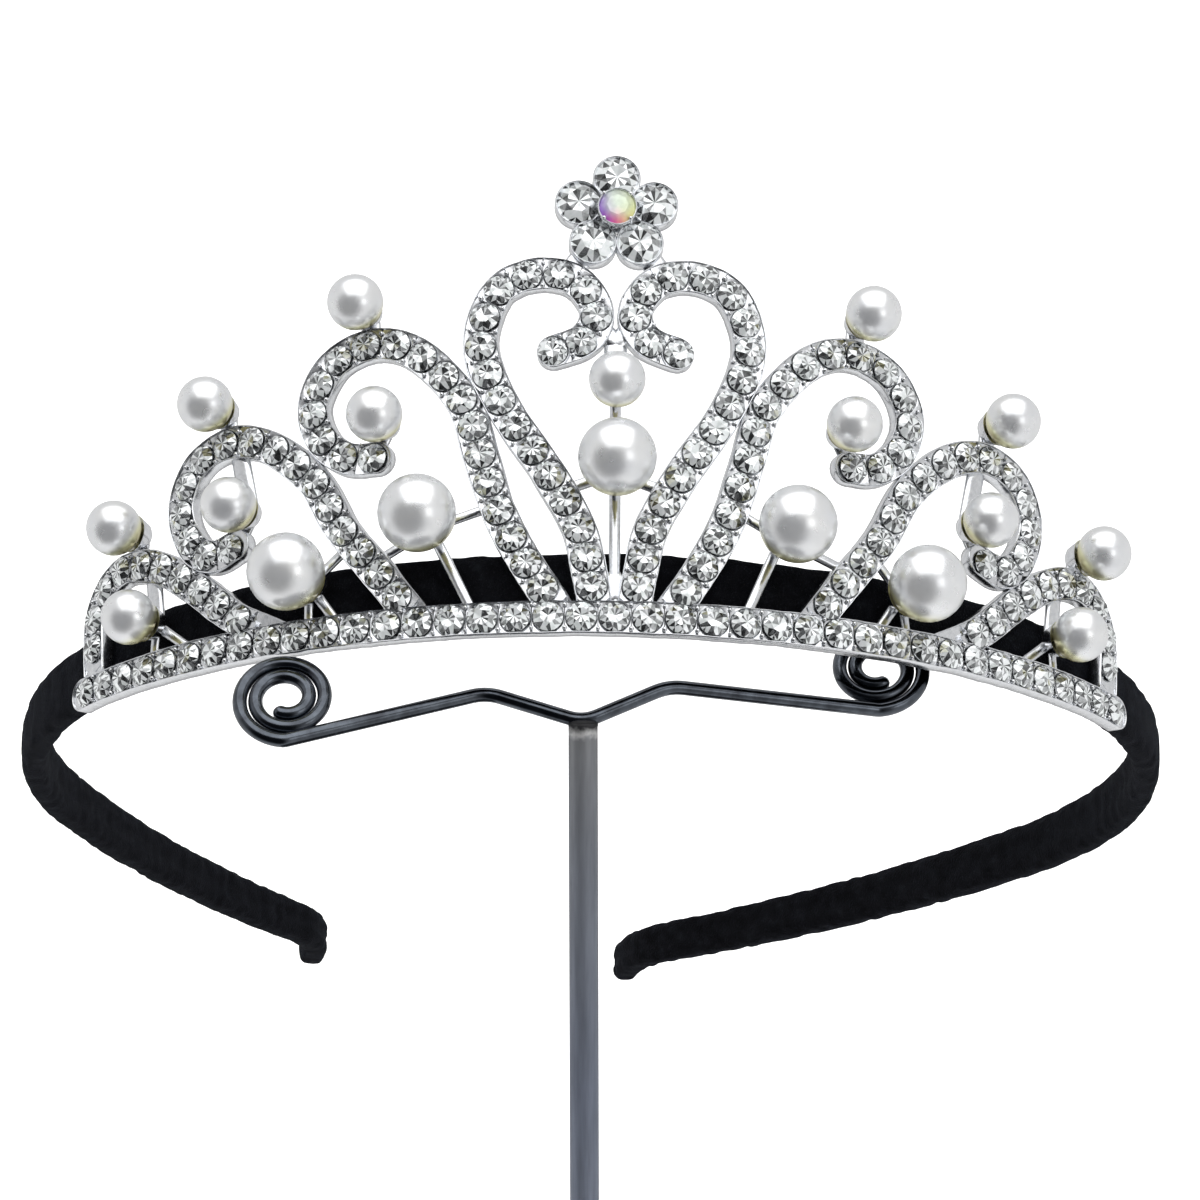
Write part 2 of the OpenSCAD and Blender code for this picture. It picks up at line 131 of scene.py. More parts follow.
# Gathers shapes into one mesh: each one's faces move past the points before it and are turned outwards
class Shapes:
    def __init__(self):
        self.points, self.faces, self.marks, self.tints, self.count = [], [], [], [], 0

    # One more shape; a mark for each face or one for all, a tint for each point or one for all
    def add(self, points, faces, mark=0, tint=0.0):
        points = np.asarray(points, float)
        way = 1 if heldVolume(points, faces) > 0 else -1
        self.points.append(points)
        self.faces.extend([[i + self.count for i in f[::way]] for f in faces])
        self.marks.extend(mark if isinstance(mark, list) else [mark] * len(faces))
        self.tints.append(np.broadcast_to(np.asarray(tint, float), (len(points),)))
        self.count += len(points)
        return self


# A closed outline carried along a path, with both ends capped
def carried(rings):
    rows, cols = rings.shape[:2]
    faces = gridQuads(rows, cols, closeCols=True)
    faces.append(list(range(cols))[::-1])
    faces.append(list(range((rows - 1) * cols, rows * cols)))
    return rings.reshape(-1, 3), faces


# A profile of (radius, height) turned about z; a radius of nought closes it in a point
def turned(profile, sides):
    profile = np.asarray(profile, float)
    lowPole, highPole = profile[0, 0] == 0, profile[-1, 0] == 0
    body = profile[int(lowPole):len(profile) - int(highPole)]
    a = angles(sides)
    grid = np.stack([body[:, :1] * np.cos(a), body[:, :1] * np.sin(a), body[:, 1:2] + 0 * a], -1)
    points, faces = [grid.reshape(-1, 3)], gridQuads(len(body), sides, closeCols=True)
    last, count = (len(body) - 1) * sides, len(body) * sides
    if lowPole:
        points.append([[0, 0, profile[0, 1]]])
        faces += [[count, (i + 1) % sides, i] for i in range(sides)]
        count += 1
    else:
        faces.append(list(range(sides))[::-1])
    if highPole:
        points.append([[0, 0, profile[-1, 1]]])
        faces += [[last + i, last + (i + 1) % sides, count] for i in range(sides)]
    else:
        faces.append(list(range(last, last + sides)))
    return np.vstack(points), faces


# So many angles, even round a circle
def angles(count):
    return np.arange(count) * twoPi / count


# Unit directions along a path, from the points on either side
def headings(p):
    d = np.gradient(p, axis=0)
    return d / np.linalg.norm(d, axis=1, keepdims=True)


# A round tube: rings square to the path, each begun on the line square to the path and to the given way
def tube(path, radius, sides, way):
    t = headings(path)
    a = np.cross(t, way)
    a /= np.linalg.norm(a, axis=1, keepdims=True)
    b = np.cross(t, a)
    g = angles(sides)
    ring = np.cos(g)[None, :, None] * a[:, None, :] + np.sin(g)[None, :, None] * b[:, None, :]
    return carried(path[:, None, :] + radius[:, None, None] * ring)


# A smooth line through points: each stretch is a cubic that leans on the point before and after it
def smoothLine(points, steps):
    p = np.asarray(points, float)
    m = len(p) - 1
    i = np.repeat(np.arange(m), steps)
    t = np.tile(np.arange(steps) / steps, m)[:, None]
    a, b, c, d = p[np.maximum(i - 1, 0)], p[i], p[i + 1], p[np.minimum(i + 2, m)]
    line = 0.5 * (2 * b + (c - a) * t + (2 * a - 5 * b + 4 * c - d) * t**2 + (3 * b - a - 3 * c + d) * t**3)
    return np.vstack([line, p[-1:]])


# How far along a line each of its points lies: the sum of the steps before it
def runOf(p):
    return np.concatenate([[0], np.cumsum(np.linalg.norm(np.diff(p, axis=0), axis=1))])


# Points at the lengths s along a line, straight between its own points
def alongLine(p, s):
    run = runOf(p)
    return np.stack([np.interp(s, run, p[:, k]) for k in range(p.shape[1])], -1)


# Sockets of a node by name or place: an output is linked to its socket, anything else is its value
def feed(node, inputs):
    for key, value in inputs.items():
        if isinstance(value, bpy.types.NodeSocket):
            node.id_data.links.new(value, node.inputs[key])
        else:
            node.inputs[key].default_value = value


# A node in the same tree as the given one, with its settings made before its sockets are fed
def newNode(beside, kind, inputs={}, **settings):
    node = beside.id_data.nodes.new("ShaderNode" + kind)
    for key, value in settings.items():
        setattr(node, key, value)
    feed(node, inputs)
    return node


# A material and its shader, fed with the given values
def newMaterial(name, values):
    m = bpy.data.materials.new(name)
    m.use_nodes = True
    shader = m.node_tree.nodes["Principled BSDF"]
    feed(shader, values)
    return m, shader


# Noise of one grain size in metres, in the piece's own space
def grain(shader, size, detail, stretch=None):
    at = newNode(shader, "TexCoord").outputs["Object"]
    if stretch:
        at = newNode(shader, "Mapping", {"Vector": at, "Scale": stretch}).outputs["Vector"]
    noise = {"Vector": at, "Scale": 1 / size, "Detail": detail, "Roughness": 0.55}
    return newNode(shader, "TexNoise", noise).outputs["Fac"]


# Colour by a source from 0 to 1, straight between stops of (place, colour)
def ramp(shader, source, stops):
    r = newNode(shader, "ValToRGB", {"Fac": source})
    marks = r.color_ramp.elements
    while len(marks) < len(stops):
        marks.new(0.5)
    for element, (at, colour) in zip(marks, stops):
        element.position = at
        element.color = (*colour, 1)
    return r.outputs["Color"]


# One tone as a colour
def grey(x):
    return (x, x, x)


# The source becomes the shader's colour
def paint(shader, source):
    feed(shader, {"Base Color": source})


# Roughness that runs from low to high as the source runs from 0 to 1
def roughen(shader, source, low, high):
    span = newNode(shader, "MapRange", {"Value": source, "To Min": low, "To Max": high})
    feed(shader, {"Roughness": span.outputs["Result"]})


# Bump from a source: its height in metres, times a strength
def bumpBy(shader, source, height, strength):
    b = newNode(shader, "Bump", {"Height": source, "Distance": height, "Strength": strength})
    feed(shader, {"Normal": b.outputs["Normal"]})


# The product of two colours
def multiplied(shader, a, b):
    inputs = {"Factor": 1.0, "A": a, "B": b}
    return newNode(shader, "Mix", inputs, data_type="RGBA", blend_type="MULTIPLY").outputs["Result"]


# A metal of two tones, with roughness and a faint bump: each is (grain size, detail) and its own values
def metalMaterial(name, sockets, stops, tone, rough, bump):
    m, shader = newMaterial(name, sockets)
    paint(shader, ramp(shader, grain(shader, *tone), stops))
    roughen(shader, grain(shader, *rough[:2]), *rough[2:])
    bumpBy(shader, grain(shader, *bump[:2]), *bump[2:])
    return m


clearCoat = {"Coat Weight": 1.0, "Coat Roughness": 0.02}


# A facet of a foiled stone under a clear glassy coat, its tone a painted reflection: tone and roughness run
# from low to high in patches
def facetMaterial(name, low, high, metal, rough):
    m, shader = newMaterial(name, {"Metallic": metal, **clearCoat})
    patch = grain(shader, 0.0007, 3)
    dark, pale = (low * 0.95, low, low * 0.99), (high * 0.97, high * 0.99, high * 1.01)
    paint(shader, ramp(shader, patch, [(0.35, dark), (0.65, pale)]))
    roughen(shader, patch, rough, rough + 0.08)
    return m


# The mesh's own colours, a little darker in patches
def rainbowFoilMaterial():
    m, shader = newMaterial("rainbow foil", {"Metallic": 0.25, **clearCoat})
    patch = ramp(shader, grain(shader, 0.0008, 2), [(0.3, grey(0.8)), (0.7, grey(1.0))])
    tint = newNode(shader, "Attribute", attribute_name="tint").outputs["Color"]
    paint(shader, multiplied(shader, tint, patch))
    roughen(shader, grain(shader, 0.0012, 2), 0.08, 0.2)
    return m


# Satin lustre over a pale body, with painted shade that darkens and yellows it toward its back and lower
# side, where the attribute "seat" says
def pearlMaterial():
    satin = {"Metallic": 0.78, "IOR": 1.5, "Coat Weight": 0.5, "Coat Roughness": 0.07}
    m, shader = newMaterial("faux pearl", satin)
    # Painted shade: darker and yellower as the seat rises toward the back and lower side
    stops = [(0.0, (0.845, 0.85, 0.855)), (0.3, (0.85, 0.845, 0.77)),
             (0.62, (0.78, 0.76, 0.48)), (1.0, (0.5, 0.45, 0.22))]
    tint = ramp(shader, newNode(shader, "Attribute", attribute_name="seat").outputs["Fac"], stops)
    lustre = ramp(shader, grain(shader, 0.0035, 2), [(0.3, (0.93, 0.94, 0.96)), (0.7, (1, 1, 0.99))])
    paint(shader, multiplied(shader, tint, lustre))
    roughen(shader, grain(shader, 0.002, 2), 0.24, 0.33)
    return m


# Deep black with a faint blue sheen: three tones of nap in patches, and a fine bump of pile
def velvetMaterial():
    m, shader = newMaterial("black velvet", {
        "Roughness": 0.95, "IOR": 1.3, "Specular IOR Level": 0.15,
        "Sheen Weight": 0.035, "Sheen Roughness": 0.35, "Sheen Tint": (0.4, 0.5, 0.75, 1),
    })
    stops = [(0.32, (0.0012, 0.0013, 0.0019)), (0.6, (0.0028, 0.003, 0.0042)),
             (0.78, (0.006, 0.0072, 0.0088))]
    paint(shader, ramp(shader, grain(shader, 0.0016, 4), stops))
    bumpBy(shader, grain(shader, 0.00022, 3), 0.00025, 0.9)
    return m


# Grey steel, its top end dark with a paler band just below: tones by height, broken up by noise
def postMaterial():
    m, shader = newMaterial("brushed post steel", {"Metallic": 0.55})
    at = newNode(shader, "TexCoord").outputs["Object"]
    height = newNode(shader, "SeparateXYZ", {"Vector": at}).outputs["Z"]
    sums = {0: grain(shader, 0.0009, 2), 1: 0.0012, 2: height}
    spread = newNode(shader, "Math", sums, operation="MULTIPLY_ADD")
    # the span ends at the weld's height and what the noise adds
    span = newNode(shader, "MapRange", {"Value": spread.outputs["Value"], "From Max": 0.0712})
    # up the post: bluish grey, then near the top a pale band and a dark end
    stops = [(0.0, (0.27, 0.3, 0.37)), (0.45, (0.155, 0.175, 0.225)), (0.8, (0.165, 0.178, 0.205)),
             (0.97, (0.185, 0.19, 0.2)), (0.977, grey(0.45)), (0.983, grey(0.2)),
             (0.987, (0.03, 0.03, 0.032)), (1.0, (0.025, 0.025, 0.027))]
    heightTones = ramp(shader, span.outputs["Result"], stops)
    lines = grain(shader, 0.0006, 3, stretch=(1, 1, 0.08))
    paint(shader, multiplied(shader, heightTones, ramp(shader, lines, [(0.3, grey(0.75)), (0.7, grey(1.0))])))
    roughen(shader, grain(shader, 0.0005, 3, stretch=(1, 1, 0.1)), 0.3, 0.48)
    return m


materials = {
    "silver": metalMaterial(
        "bright silver plate", {"Metallic": 1.0}, [(0.3, (0.79, 0.805, 0.835)), (0.7, (0.93, 0.942, 0.962))],
        (0.0006, 4), (0.0011, 3, 0.12, 0.34), (0.0009, 2, 0.00005, 0.5)),
    # The stones' facets: bright, mid and dark tones that paint reflections
    "paintedBrightFacet": facetMaterial("bright facet", 0.86, 0.97, 0.62, 0.05),
    "paintedMidFacet": facetMaterial("mid facet", 0.42, 0.66, 0.9, 0.03),
    "paintedDarkFacet": facetMaterial("dark facet", 0.1, 0.28, 0.92, 0.03),
    "rainbow": rainbowFoilMaterial(),
    "pearl": pearlMaterial(),
    "velvet": velvetMaterial(),
    "wire": metalMaterial(
        "gunmetal wire", {"Metallic": 1.0, "Coat Weight": 0.8, "Coat Roughness": 0.08},
        [(0.3, (0.028, 0.034, 0.046)), (0.7, (0.11, 0.128, 0.155))],
        (0.0015, 4), (0.0007, 3, 0.12, 0.24), (0.0009, 3, 0.00004, 0.5)),
    "post": postMaterial(),
    "foot": metalMaterial(
        "dark foot steel", {"Metallic": 0.9}, [(0.3, (0.05, 0.052, 0.056)), (0.7, (0.09, 0.094, 0.1))],
        (0.004, 4), (0.0012, 3, 0.32, 0.48), (0.0006, 2, 0.00004, 0.35)),
}
print("materials ready")


creaseAngle = math.radians(55)  # edges sharper than this stay sharp on a smooth piece


# An object of the given data, in the scene
def newObject(name, data):
    made = bpy.data.objects.new(name, data)
    bpy.context.scene.collection.objects.link(made)
    return made


# Puts the gathered shapes into one mesh: marks pick the material, tints go to the attribute "seat" (on the
# pearls, their painted shade), and colours, where they are given, to the attribute "tint"
def makePiece(name, shapes, used, smooth=False, replaces=(), colours=None):
    mesh = bpy.data.meshes.new(name)
    mesh.from_pydata(np.vstack(shapes.points).tolist(), [], shapes.faces)
    for m in used:
        mesh.materials.append(materials[m])
    mesh.polygons.foreach_set("material_index", shapes.marks)
    mesh.polygons.foreach_set("use_smooth", [smooth] * len(shapes.faces))
    seat = mesh.attributes.new("seat", "FLOAT", "POINT")
    seat.data.foreach_set("value", np.concatenate(shapes.tints))
    if colours is not None:
        own = mesh.attributes.new("tint", "FLOAT_COLOR", "POINT")
        own.data.foreach_set("color", colours.ravel())
    if smooth:
        mesh.set_sharp_from_angle(angle=creaseAngle)
    mesh.update()
    piece = newObject(name, mesh)
    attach(piece, "root")
    if replaces:
        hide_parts(*replaces)
    return piece


strip = tiara["stripWidth"]
# Middle lines of the curled strips: across as a share of the width, up as a share of the height. The first
# stone stands at the lead, and no stone within the bare length before the end
curls = {
    "heart": {
        "foot": 0.0, "width": 0.0132, "height": 0.0372, "lead": 0.93 * strip, "bare": 0.0, "level": 1,
        "line": [(0.13, 0), (0.19, 0.13), (0.27, 0.26), (0.5, 0.42), (0.78, 0.58), (0.97, 0.73), (1, 0.84),
                 (0.87, 0.955), (0.61, 1), (0.33, 0.985), (0.17, 0.92), (0.15, 0.855), (0.25, 0.8),
                 (0.46, 0.77)],
    },
    "tall": {
        "foot": 0.005, "width": 0.0256, "height": 0.0307, "lead": 1.03 * strip, "bare": 0.0, "level": 2,
        "line": [(0, 0), (0.13, 0.173), (0.24, 0.36), (0.316, 0.567), (0.39, 0.77), (0.566, 0.945),
                 (0.742, 1), (0.914, 0.948), (1, 0.814), (0.96, 0.684), (0.85, 0.603), (0.73, 0.593)],
    },
    "middle": {
        "foot": 0.0192, "width": 0.0272, "height": 0.0225, "lead": 1.05 * strip, "bare": 0.0, "level": 1,
        "line": [(0, 0), (0.15, 0.253), (0.298, 0.49), (0.415, 0.742), (0.596, 0.938), (0.772, 1),
                 (0.934, 0.924), (1, 0.733), (0.94, 0.54), (0.838, 0.462), (0.735, 0.493)],
    },
    "low": {
        "foot": 0.0334, "width": 0.0264, "height": 0.012, "lead": 1.75 * strip, "bare": 0.93 * strip,
        "level": 2,
        "line": [(0, 0), (0.21, 0.26), (0.41, 0.62), (0.6, 0.9), (0.784, 1), (0.918, 0.894),
                 (0.993, 0.65), (0.993, 0.325), (0.978, 0)],
    },
}
stones = {
    "strip": 0.0029, "shown": 0.00306,  # the strips' stones as they are counted, and as they fill the channel
    "pitch": 0.0032, "gap": 0.00015, "below": 0.00095,
    "petal": 0.00455, "petalShown": 0.00465, "petalBelow": 0.0011,
    "middle": 0.0037, "middleTable": 0.6, "middleDip": 0.02, "middleBelow": 0.00055,
    "crown": 0.22, "table": 0.54, "dip": 0.05,  # height, width and hollow of the table, in diameters
    "tones": (0.36, 0.38, 0.26), "paired": 0.6,  # shares of bright, mid and dark painted reflection; how many alternate
    "tip": 4.0,
}
flower = {
    "ring": 0.0041, "height": 0.0439, "droop": 0.0003, "centreRise": 0.001738,
    "ease": 0.0001, "rimGap": 0.00003, "rim": 0.00022, "rimEase": 0.00012, "seatFloor": 0.0002,
    "petalTop": 0.0018, "disc": 0.0019, "discTop": 0.0011,
    "stemIn": 0.0002, "stemFrom": 0.0008, "stemTop": 0.0006, "seatLow": 0.0007, "seatHigh": 0.0005,
    "bead": 0.00024, "beadOut": 0.00008, "beadFrom": 0.0022, "beadHigh": 0.0008,
    "carrier": 2.4, "carrierFoot": 0.36,  # thickness in pins, and across the heart as a share
}
pearls = {
    "small": 0.0058, "big": 0.008, "gap": 0.00015, "floor": 0.0004, "rings": 33, "sides": 48,
    # the last three place the painted shade on a pearl's back and lower side
    "shadeSlant": 0.5, "shadeFrom": 0.12, "shadeSpan": 0.6,
}
both = (-1, 1)
# Curl, across and up as shares, big or not, sides
pearlRows = [
    ("heart", 0, 0.42, 1, (1,)), ("heart", 0, 0.656, 0, (1,)), ("tall", 0.777, 1.115, 0, both),
    ("tall", 0.695, 0.707, 0, both), ("tall", 0.516, 0.332, 1, (-1,)), ("tall", 0.457, 0.315, 1, (1,)),
    ("middle", 0.8, 1.155, 0, both), ("middle", 0.6875, 0.6355, 0, both), ("middle", 0.43, 0.244, 1, (-1,)),
    ("middle", 0.39, 0.238, 1, (1,)), ("low", 0.725, 1.27, 0, (-1,)), ("low", 0.785, 1.25, 0, (1,)),
    ("low", 0.627, 0.4, 0, both),
]
# Curl, across and up as shares, sides; then each rod's other end and its thickness in pins
rodRows = [
    ("heart", 0, 0.42, (1,), ((0, 0, 1.1),)), ("heart", 0, 0.12, (1,), ((0, 0, 1.8),)),
    ("heart", 0, 0.42, (1,), ((0, 0.656, 1.1),)), ("heart", 0, 0.42, both, ((0.42, 0.365, 1.2),)),
    ("heart", 0, 0.656, (1,), ((0, 0.8, 2.2),)), ("heart", 0, 0.8, both, ((0.15, 0.86, 2),)),
    ("tall", 0.516, 0.332, (-1,), ((0.345, 0.03, 1.1), (0.26, 0.4, 1), (0.76, 0.22, 1))),
    ("tall", 0.457, 0.315, (1,), ((0.31, 0.03, 1.1), (0.26, 0.4, 1), (0.76, 0.22, 1))),
    ("tall", 0.777, 1.115, both, ((0.76, 0.98, 2),)), ("middle", 0.8, 1.155, both, ((0.79, 0.98, 2),)),
    ("low", 0.725, 1.27, (-1,), ((0.74, 0.98, 2),)), ("low", 0.785, 1.25, (1,), ((0.775, 0.98, 2),)),
    ("tall", 0.695, 0.707, both, ((0.76, 0.6, 2),)),
    ("middle", 0.43, 0.244, (-1,), ((0.31, 0.04, 1.1), (0.26, 0.42, 1), (0.43, 0.04, 1))),
    ("middle", 0.39, 0.238, (1,), ((0.28, 0.04, 1.1), (0.26, 0.42, 1), (0.41, 0.04, 1))),
    ("middle", 0.6875, 0.6355, both, ((0.75, 0.98, 2.1), (0.76, 0.48, 2))),
    ("low", 0.627, 0.4, both, ((0.42, 0.06, 1.1), (0.64, 0.04, 1.1), (0.66, 0.95, 2.1))),
]


# A curl's shares as (u, v): the foot and x widths out to its side, and y heights up
def curlPoint(name, x, y, side):
    c = curls[name]
    return np.array([side * (c["foot"] + x * c["width"]), y * c["height"]])


# The smooth line through a curl's points
def curlLine(name, side):
    return smoothLine([curlPoint(name, x, y, side) for x, y in curls[name]["line"]], 8)


# Stones at one pitch from the lead on, as many as fit; the heart's curls end in one more
def curlStones(name, side):
    line = curlLine(name, side)
    c = curls[name]
    count = math.floor((runOf(line)[-1] - c["lead"] - c["bare"]) / stones["pitch"] + 0.001)
    row = alongLine(line, c["lead"] + np.arange(count + 1) * stones["pitch"])
    if name == "heart":
        rest = line[-1] - row[-1]
        left = np.linalg.norm(rest)
        row = np.vstack([row, row[-1] + rest / left * max(left, stones["shown"])])
    return row


# A straight row at one pitch, alike on both sides of its middle
def baseStones():
    count = math.floor((tiara["half"] - stones["strip"] / 4) / stones["pitch"])
    return np.stack([np.arange(-count, count + 1) * stones["pitch"], np.zeros(2 * count + 1)], -1)


# Every stone of the strips as (u, v), strip by strip
def stripRows():
    return [baseStones()] + [curlStones(name, side) for name in curls for side in both]


seats = np.vstack(stripRows())
seatStrip = np.concatenate([np.full(len(row), k) for k, row in enumerate(stripRows())])

# Heights and offsets of the channels in metres; lipCurve is in from the wall and down from the lip's top
cast = {
    "lip": 0.00018, "lipTop": 0.00156, "round": 0.0001, "levelStep": 0.00004, "sideLevel": 0.25,
    "lipCurve": ((0, 0.00024), (0.00003, 0.0001), (0.00009, 0.00002), (0.00014, 0.00003), (0.00018, 0.00012)),
    "floor": 0.0003, "bare": 0.00115, "floorEase": 0.0002, "underStone": 0.00036,
    "step": 0.0004, "fineStep": 0.00015, "wobble": 0.00003,
    "endDeeper": 0.00002, "endReach": 0.0014, "endSides": 32,
    "web": 0.00126, "webLow": 0.0007, "webSides": 36, "webGap": 0.00001, "webReach": 0.0027,
    "webUnderLip": 0.00009, "webOverlap": 0.00003, "webLeast": 0.00004, "webRaised": 0.00002,
    "webSunk": 0.00008, "lineReach": 0.0045, "nextStones": (0.0005, 0.0055),
    "bead": 0.00023, "beadSizes": (0.8, 1.35), "beadOff": 0.00124, "beadTop": 0.00178,
    "beadStray": 0.00006, "beadInStone": 0.0002,
}


# Lowers what would stand inside another strip's stone: heights under its circle are held at the stone's point
def underStones(u, v, w, own=-1):
    other = seats[seatStrip != own]
    near = np.hypot(u[..., None] - other[:, 0], v[..., None] - other[:, 1]).min(-1)
    return np.where(near < stones["shown"] / 2, np.minimum(w, cast["underStone"]), w)


# Half of a channel's outline: from its flat back up the wall, over the rounded lip, down to the floor
def channelWall(low, top, floor):
    edge, ease = strip / 2, cast["round"]
    lip = [(edge - a, top - b) for a, b in cast["lipCurve"]]
    return [(edge - ease, low), (edge, low + ease)] + lip + [(edge - cast["lip"], floor)]


# The channel's outline carried along the strip's middle line, its walls wavering a little; its floor is
# deep from the first stone to the last and raised on the bare ends
def stripShape(line, level, first, last, own):
    total = runOf(line)[-1]
    n = max(int(total / cast["step"]), 8)
    run = np.linspace(0, total, n)
    line = alongLine(line, run)
    d = headings(line)
    across = np.stack([-d[:, 1], d[:, 0]], -1)
    low = level * cast["levelStep"]
    half = channelWall(low, cast["lipTop"] - low, cast["floor"])
    outline = np.array(half + [(-a, w) for a, w in half[::-1]])
    a, w = outline[None, :, 0], np.repeat(outline[None, :, 1], n, 0)
    past = np.maximum(first - run, run - last) - stones["strip"] / 2
    raised = np.clip(past / cast["floorEase"], 0, 1) * (cast["bare"] - cast["floor"])
    w[:, len(half) - 1:len(half) + 1] = (cast["floor"] + low + raised)[:, None]
    wave = np.convolve(rng.normal(size=n + 8), np.ones(9) / 3, "valid")
    wave = cast["wobble"] * wave[:, None] * np.sign(a)
    u = line[:, :1] + across[:, :1] * (a + wave)
    v = line[:, 1:] + across[:, 1:] * (a + wave)
    return carried(onTiara(u, v, underStones(u, v, w, own))[::-1])


# The strip's round end: the same outline, turned about the end; deep only where a stone sits on it
def endShape(uv, level, stoneNear, own):
    deeper = cast["endDeeper"]
    low = level * cast["levelStep"] + deeper
    top = cast["lipTop"] - level * cast["levelStep"] - deeper
    floor = cast["floor" if stoneNear else "bare"] + low
    points, faces = turned([(0, low)] + channelWall(low, top, floor) + [(0, floor)], cast["endSides"])
    points[:, 2] = underStones(uv[0] + points[:, 0], uv[1] + points[:, 1], points[:, 2], own)
    return flatOnTiara(*uv, points), faces


# The metal round a stone: a ring from the stone's circle out to its own stretch of the channel. In each
# direction it ends at the lip, or where the next stone is as near
def webShape(uv, line):
    n = cast["webSides"]
    g = angles(n)
    way = np.stack([np.cos(g), np.sin(g)], -1)
    inner = stones["shown"] / 2 + cast["webGap"]
    r = np.linspace(inner, cast["webReach"], 36)
    p = uv + r[:, None, None] * way
    toLip = np.linalg.norm(p[:, :, None] - line, axis=-1).min(-1)
    apart = np.hypot(*(seats - uv).T)
    nearest, farthest = cast["nextStones"]
    others = seats[(apart > nearest) & (apart < farthest)]
    toNext = np.linalg.norm(p[:, :, None] - others, axis=-1).min(-1)
    atLip = toLip > strip / 2 - cast["webUnderLip"]
    atNext = toNext < r[:, None] - cast["webOverlap"]
    outer = np.maximum(r[np.argmax(atLip | atNext, 0)], inner + cast["webLeast"])
    top, low = cast["web"], cast["webLow"]
    rings = [(inner, low), (outer, low), (outer, top + cast["webRaised"]), ((inner + outer) / 2, top),
             (inner, top - cast["webSunk"])]
    flat = [np.column_stack([way * np.broadcast_to(a, n)[:, None], np.full(n, z)]) for a, z in rings]
    return flatOnTiara(*uv, np.vstack(flat)), gridQuads(len(rings), n, closeRows=True, closeCols=True)


# A bead of metal pushed over the stones' edges: the upper half of a ball on a short stem
def bead(r, low, high):
    a = np.linspace(0, math.pi / 2, 4)[:-1]
    return turned([(r, low)] + [(r * math.cos(x), high - r + r * math.sin(x)) for x in a] + [(0, high)], 8)


# Cup behind a pearl of diameter d; radii in diameters
cup = {"stem": 0.2, "foot": 0.25, "wall": 0.345, "lip": 0.325, "hollow": 0.285, "deep": 0.1, "sides": 24,
       "back": 0.0004, "footTop": 0.0007, "ease": 0.0001}


# A stem that widens to a wall with a flat lip round a hollow, turned about the pearl's own line
def cupShape(uv, d):
    floor = tiara["thick"] + pearls["floor"]
    rim = floor + d * cup["deep"]
    wall = d * cup["wall"]
    back = cup["back"]
    profile = [(0, back), (d * cup["stem"], back), (d * cup["foot"], cup["footTop"]),
               (wall, rim - cup["ease"]), (wall, rim), (d * cup["lip"], rim), (d * cup["hollow"], floor),
               (0, floor)]
    points, faces = turned(profile, cup["sides"])
    return flatOnTiara(*uv, points), faces


rods = {"wide": 0.58, "deep": 0.48, "deepest": 0.0005, "height": 0.00062, "levelStep": 0.00001,
        "step": 0.0003, "sides": 16}


# A flattened round rod on the tiara's curve, with rounded ends; it ducks under the stones that it passes
def rodShape(a, b, d, level):
    a, b = np.asarray(a), np.asarray(b)
    span = np.linalg.norm(b - a)
    hw, hd = d * rods["wide"], min(d * rods["deep"], rods["deepest"]) - level * rods["levelStep"]
    along = (b - a) / span
    across = np.array([-along[1], along[0]])
    run = np.linspace(-hw, span + hw, max(int(span / rods["step"]), 10))
    nearEnd = np.clip((np.minimum(run, span - run) + hw) / hw, 0, 1)
    size = np.sqrt(nearEnd * 0.96 + 0.04)[:, None]  # never quite nought, so that the caps stay flat
    g = angles(rods["sides"])
    grid = (a + along * run[:, None])[:, None, :] + (size * hw * np.cos(g))[..., None] * across
    u, v, w = grid[..., 0], grid[..., 1], rods["height"] + size * hd * np.sin(g)
    return carried(onTiara(u, v, underStones(u, v, w))[::-1])


# A web round each stone of a row, and between two stones a bead on either side of the strip
def addWebsAndBeads(s, row, line):
    d = headings(row)
    fine = alongLine(line, np.arange(0, runOf(line)[-1], cast["fineStep"]))
    for uv in row:
        s.add(*webShape(uv, fine[np.hypot(*(fine - uv).T) < cast["lineReach"]]))
    for (u, v), (du, dv) in zip((row[1:] + row[:-1]) / 2, (d[1:] + d[:-1]) / 2):
        for side in both:
            shift = cast["beadOff"] + rng.uniform(-cast["beadStray"], cast["beadStray"])
            at = (u - side * dv * shift, v + side * du * shift)
            if np.hypot(*(seats - at).T).min() < stones["shown"] / 2 - cast["beadInStone"]:
                continue
            size = cast["bead"] * rng.uniform(*cast["beadSizes"])
            points, faces = bead(size, cast["webLow"], cast["beadTop"])
            s.add(flatOnTiara(*at, points), faces)


# The base strip with two round ends, the curls with one each, then all their webs and beads
def addStrips(s):
    half = tiara["half"]
    rows = stripRows()
    lines = [np.stack([np.linspace(-half, half, 160), np.zeros(160)], -1)]
    s.add(*stripShape(lines[0], 0, half + rows[0][0, 0], half + rows[0][-1, 0], 0))
    for side in both:
        s.add(*endShape((side * half, 0.0), 0, True, 0))
    for name, c in curls.items():
        for side in both:
            level, own = c["level"] + cast["sideLevel"] * side, len(lines)
            line = curlLine(name, side)
            total = runOf(line)[-1]
            last = min(c["lead"] + (len(rows[own]) - 1) * stones["pitch"], total)
            s.add(*stripShape(line, level, c["lead"], last, own))
            s.add(*endShape(line[-1], level, total - last < cast["endReach"], own))
            lines.append(line)
    for row, line in zip(rows, lines):
        addWebsAndBeads(s, row, line)


